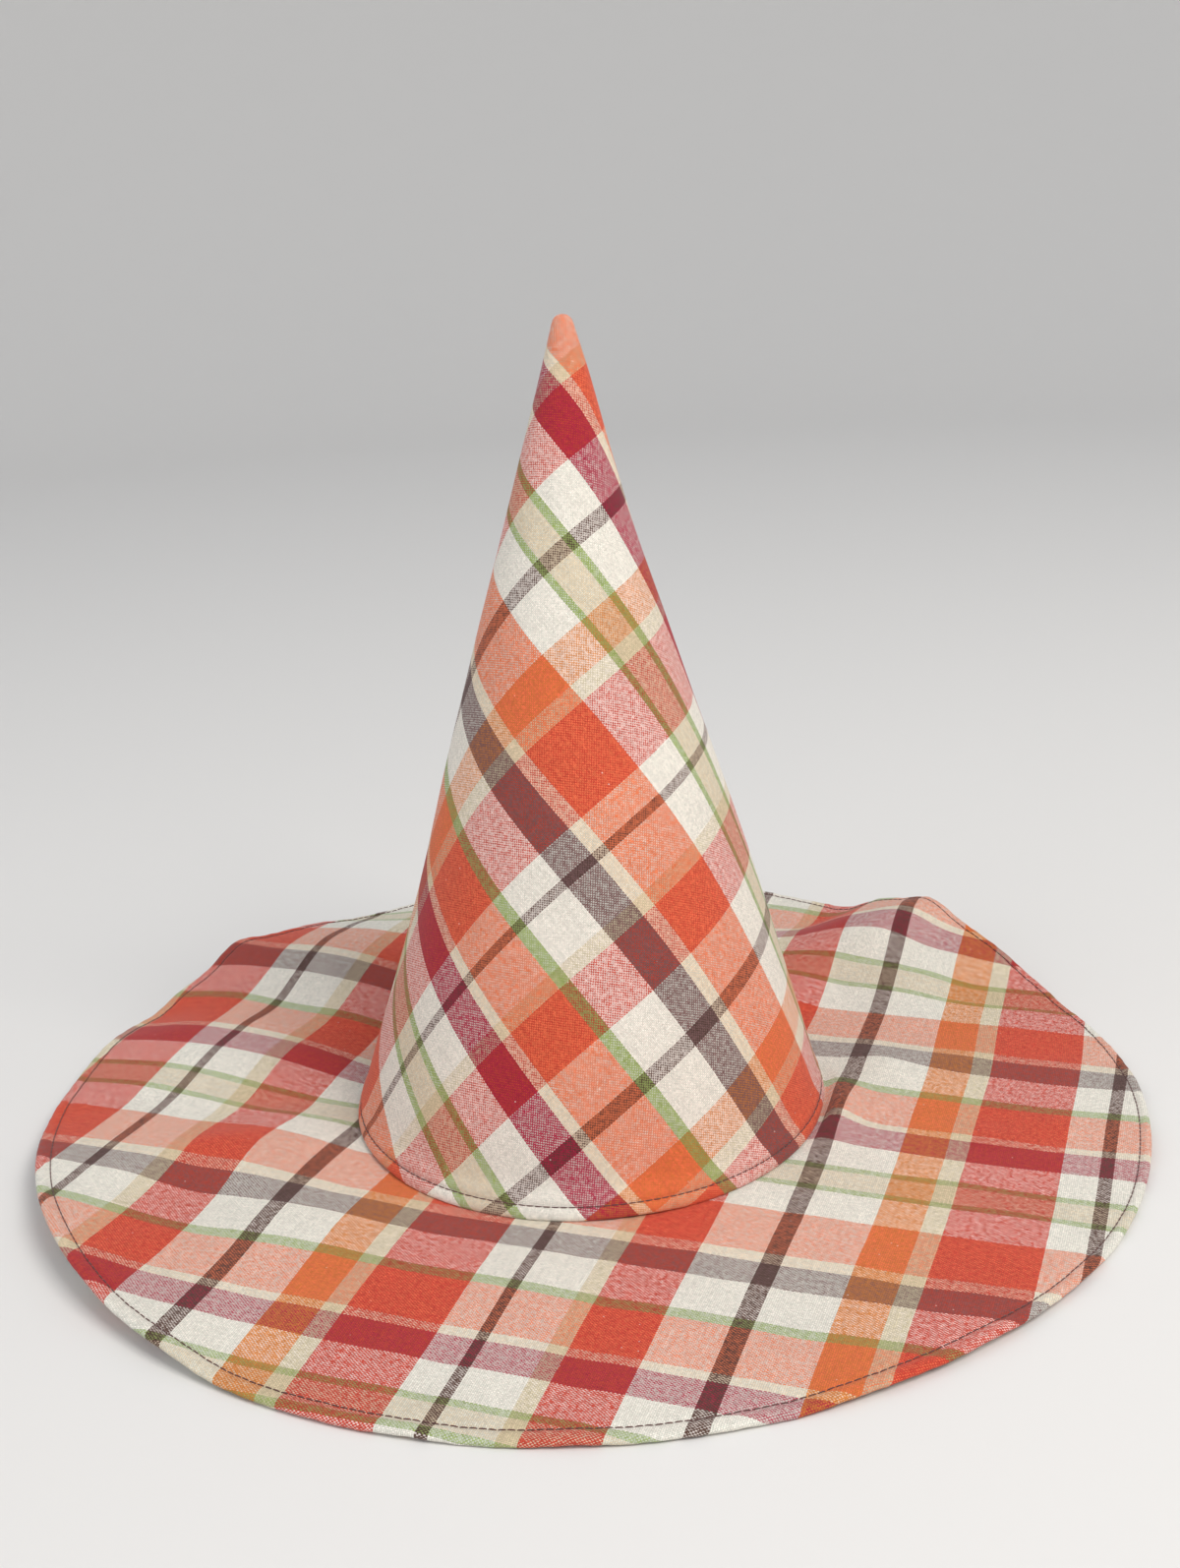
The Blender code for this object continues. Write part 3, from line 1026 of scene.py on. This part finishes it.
def model_stitch():
    """One stitch, a unit long along X and lying on the XY plane, as an object of its own."""
    thick = STITCH_THREAD / STITCH_LENGTH
    bpy.ops.object.select_all(action="DESELECT")
    bpy.ops.mesh.primitive_cylinder_add(vertices=STITCH_SIDES, radius=thick / 2, depth=STITCH_FLAT_SHARE,
                                        rotation=(0, math.pi / 2, 0))
    bpy.ops.object.transform_apply(rotation=True)
    stitch = bpy.context.active_object
    stitch.name = "one_stitch"
    for way in (1, -1):
        bpy.ops.object.mode_set(mode="EDIT")
        bpy.ops.mesh.select_mode(type="FACE")
        for out, down, size in STITCH_ENDS:
            shape = bmesh.from_edit_mesh(stitch.data)
            end = max(shape.faces, key=lambda face: way * face.calc_center_median().x)
            for face in shape.faces:
                face.select_set(face == end)
            shape.select_flush_mode()
            bmesh.update_edit_mesh(stitch.data)
            bpy.ops.mesh.extrude_region_move(TRANSFORM_OT_translate={"value": (way * out, 0, down * thick)})
            bpy.ops.transform.resize(value=(1, size, size))
        bpy.ops.object.mode_set(mode="OBJECT")
    stitch.select_set(False)
    return stitch


def stitch_row(name, stitch, path, normals, material):
    """Copies of the stitch along a closed path, which has a point for each end of a stitch."""
    mesh = bmesh.new()
    count = len(path)
    for k in range(count):
        start = mathutils.Vector(path[k])
        end = mathutils.Vector(path[(k + 1) % count])
        along = end - start
        length = along.length
        along.normalize()
        up = mathutils.Vector(normals[k])
        up = (up - along * up.dot(along)).normalized()
        side = up.cross(along)
        middle = (start + end) / 2 + up * (STITCH_HEIGHT * STITCH_THREAD)
        before = len(mesh.verts)
        mesh.from_mesh(stitch.data)
        mesh.verts.ensure_lookup_table()
        for vert in mesh.verts[before:]:
            x, y, z = vert.co
            across = side * (y * STITCH_LENGTH) + up * (z * STITCH_LENGTH)
            vert.co = middle + along * (x * length * STITCH_FILL) + across
    bmesh.ops.recalc_face_normals(mesh, faces=mesh.faces[:])
    piece = piece_from(mesh, name, material)
    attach(piece, "root")
    return piece


def rim_row():
    """Points along the groove inside the rim, on the upper layer."""
    count = round(2 * math.pi * (RIM_RADIUS - STITCH_ROW[0][1] * MM) / STITCH_LENGTH)
    angles = np.linspace(0, 360, count + 1)[:-1]
    radii = RIM_RADIUS - stitch_inset(angles)
    points = []
    normals = []
    for angle, radius in zip(angles, radii + waves(ROW_WANDERS, np.radians(angles))):
        here = np.array([radius])
        spot = brim_shape(np.array([angle]), here)[0, 0]
        ahead = brim_shape(np.array([angle + A_LITTLE_ROUND]), here)[0, 0] - spot
        outward = brim_shape(np.array([angle]), here + A_LITTLE_OUT)[0, 0] - spot
        normal = np.cross(outward, ahead)
        normal = normal / np.linalg.norm(normal) * np.sign(normal[2])
        relief = brim_relief(np.array([angle]), here)[0, 0]
        points.append(spot + np.array([0, 0, UPPER_BASE + LAYER + relief + THREAD_LIFT]))
        normals.append(normal)
    return np.array(points), np.array(normals)


def hem_row():
    """Points round the crown just above its lower edge."""
    height = np.array([HEM_STITCH])
    radius, shift = (values[0] for values in crown_level(height))
    count = round(2 * math.pi * radius / STITCH_LENGTH)
    turns = np.linspace(-math.pi, math.pi, count + 1)[:-1]
    out = radius + crown_relief(turns, height)[0] + THREAD_LIFT
    rise = CROWN_FOOT + HEM_STITCH + hem_lift(turns, height)[0]
    points = np.stack([shift + out * np.sin(turns), -out * np.cos(turns), rise], -1)
    normals = np.stack([np.sin(turns), -np.cos(turns), np.full_like(turns, 0.3)], -1)
    return points, normals


dark_thread = thread_material()
one_stitch = model_stitch()
rim_stitches = stitch_row("rim_stitching", one_stitch, *rim_row(), dark_thread)
hem_stitches = stitch_row("crown_stitching", one_stitch, *hem_row(), dark_thread)
bpy.data.objects.remove(one_stitch, do_unlink=True)
print("stitch triangles:", triangles(rim_stitches), triangles(hem_stitches))

# %% [markdown]

# %% [markdown]
# ## Floor and light
# The hat stands on a plain pale floor that curves up into a wall far away on all sides, like a
# photographer's sweep. A large soft lamp above and to one side gives the waves of the brim their
# shading, and a weaker one and a pale surround keep shadows open.

# %% Floor and light
FLOOR_RADIUS = 2.2
SWEEP_RADIUS = 1.3
WALL_HEIGHT = 2.4
SWEEP_STEPS = 16
FLOOR_VALUES = {"Base Color": (0.80, 0.79, 0.77, 1.0), "Roughness": 0.9}
SURROUND_COLOUR = (0.93, 0.95, 1.0, 1.0)
SURROUND_STRENGTH = 0.58
LAMP_AIM = (0, 0, 0.1)
LAMP_COLUMNS = ("name", "place", "size", "power", "colour")
LAMPS = (
    ("key_lamp", (1.0, -1.0, 1.7), 1.0, 28.0, (1.0, 0.97, 0.93)),
    ("fill_lamp", (-1.5, -0.9, 1.0), 1.6, 8.0, (0.95, 0.97, 1.0)),
)


def make_floor():
    """A round floor that sweeps up into a wall, spun from one profile."""
    bends = [math.pi / 2 * k / SWEEP_STEPS for k in range(SWEEP_STEPS + 1)]
    profile = [(0.0, 0.0), (FLOOR_RADIUS, 0.0)]
    profile += [(FLOOR_RADIUS + SWEEP_RADIUS * math.sin(bend), SWEEP_RADIUS * (1 - math.cos(bend)))
                for bend in bends[1:]]
    profile.append((FLOOR_RADIUS + SWEEP_RADIUS, WALL_HEIGHT))
    mesh = bmesh.new()
    verts = [mesh.verts.new((out, 0.0, up)) for out, up in profile]
    edges = [mesh.edges.new(pair) for pair in zip(verts, verts[1:])]
    bmesh.ops.spin(mesh, geom=verts + edges, cent=(0, 0, 0), axis=(0, 0, 1), angle=2 * math.pi, steps=96)
    bmesh.ops.remove_doubles(mesh, verts=mesh.verts[:], dist=1e-5)
    bmesh.ops.recalc_face_normals(mesh, faces=mesh.faces[:])
    if mesh.faces[0].normal.z < 0:
        bmesh.ops.reverse_faces(mesh, faces=mesh.faces[:])
    floor = piece_from(mesh, "floor", new_material("floor_paint", FLOOR_VALUES)[0])


def soft_lamp(name, place, size, power, colour):
    """A square lamp that looks at the middle of the hat."""
    data = bpy.data.lights.new(name, "AREA")
    data.shape = "SQUARE"
    data.size = size
    data.energy = power
    data.color = colour
    lamp = bpy.data.objects.new(name, data)
    lamp.location = place
    aim = mathutils.Vector(LAMP_AIM) - mathutils.Vector(place)
    lamp.rotation_euler = aim.to_track_quat("-Z", "Y").to_euler()
    scene.collection.objects.link(lamp)


def light_surround():
    """A pale surround that lights the hat evenly from all sides."""
    world = bpy.data.worlds.new("studio")
    world.use_nodes = True
    backdrop = world.node_tree.nodes["Background"]
    backdrop.inputs["Color"].default_value = SURROUND_COLOUR
    backdrop.inputs["Strength"].default_value = SURROUND_STRENGTH
    scene.world = world


make_floor()
light_surround()
for row in LAMPS:
    soft_lamp(**dict(zip(LAMP_COLUMNS, row)))
scene.view_settings.view_transform = "Standard"
